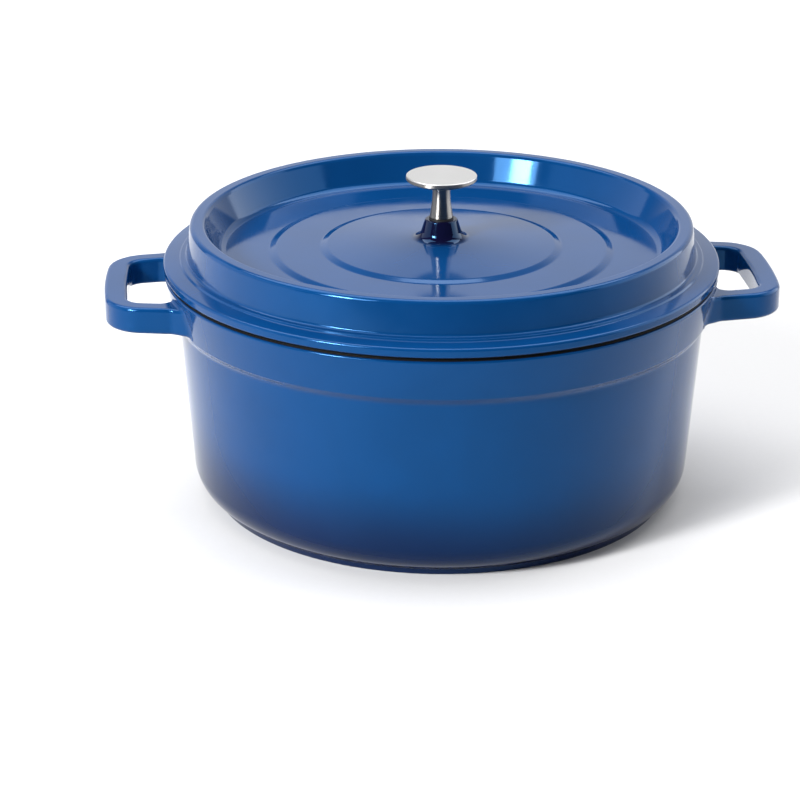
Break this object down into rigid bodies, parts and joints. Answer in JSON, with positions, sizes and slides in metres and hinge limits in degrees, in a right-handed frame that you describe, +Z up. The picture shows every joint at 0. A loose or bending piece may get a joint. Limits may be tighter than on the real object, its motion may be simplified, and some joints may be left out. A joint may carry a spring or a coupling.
{
  "type": "dutch oven",
  "caption": "Round enamelled cast iron dutch oven with two loop handles and a lift-off stepped lid with a steel knob.",
  "frame": {"origin": "on the ground plane, at the centre of the pot's foot ring", "axes": "+Z up along the pot's axis, +X towards one loop handle and -X towards the other"},
  "size_m": [0.3642, 0.3, 0.1773],
  "materials": {
    "pot_enamel": "glossy blue vitreous enamel outside, matte black enamel inside and on the rim",
    "lid_enamel": "glossy blue vitreous enamel on top, matte black enamel underneath and on the rim",
    "knob_steel": "satin stainless steel, turned",
    "seal_rubber": "matte",
    "fastener_steel": "plain stainless steel"
  },
  "bodies": {
    "pot": {"pot_body": "pot_enamel"},
    "lid": {"lid": "lid_enamel", "lid_knob": "knob_steel", "knob_gasket": "seal_rubber", "knob_screw": "fastener_steel", "screw_washer": "fastener_steel"}
  },
  "joints": [
    {"name": "lid_lift", "type": "slide", "parent": "pot", "child": "lid", "axis": [0, 0, 1], "range_m": [0, 0.25]}
  ]
}
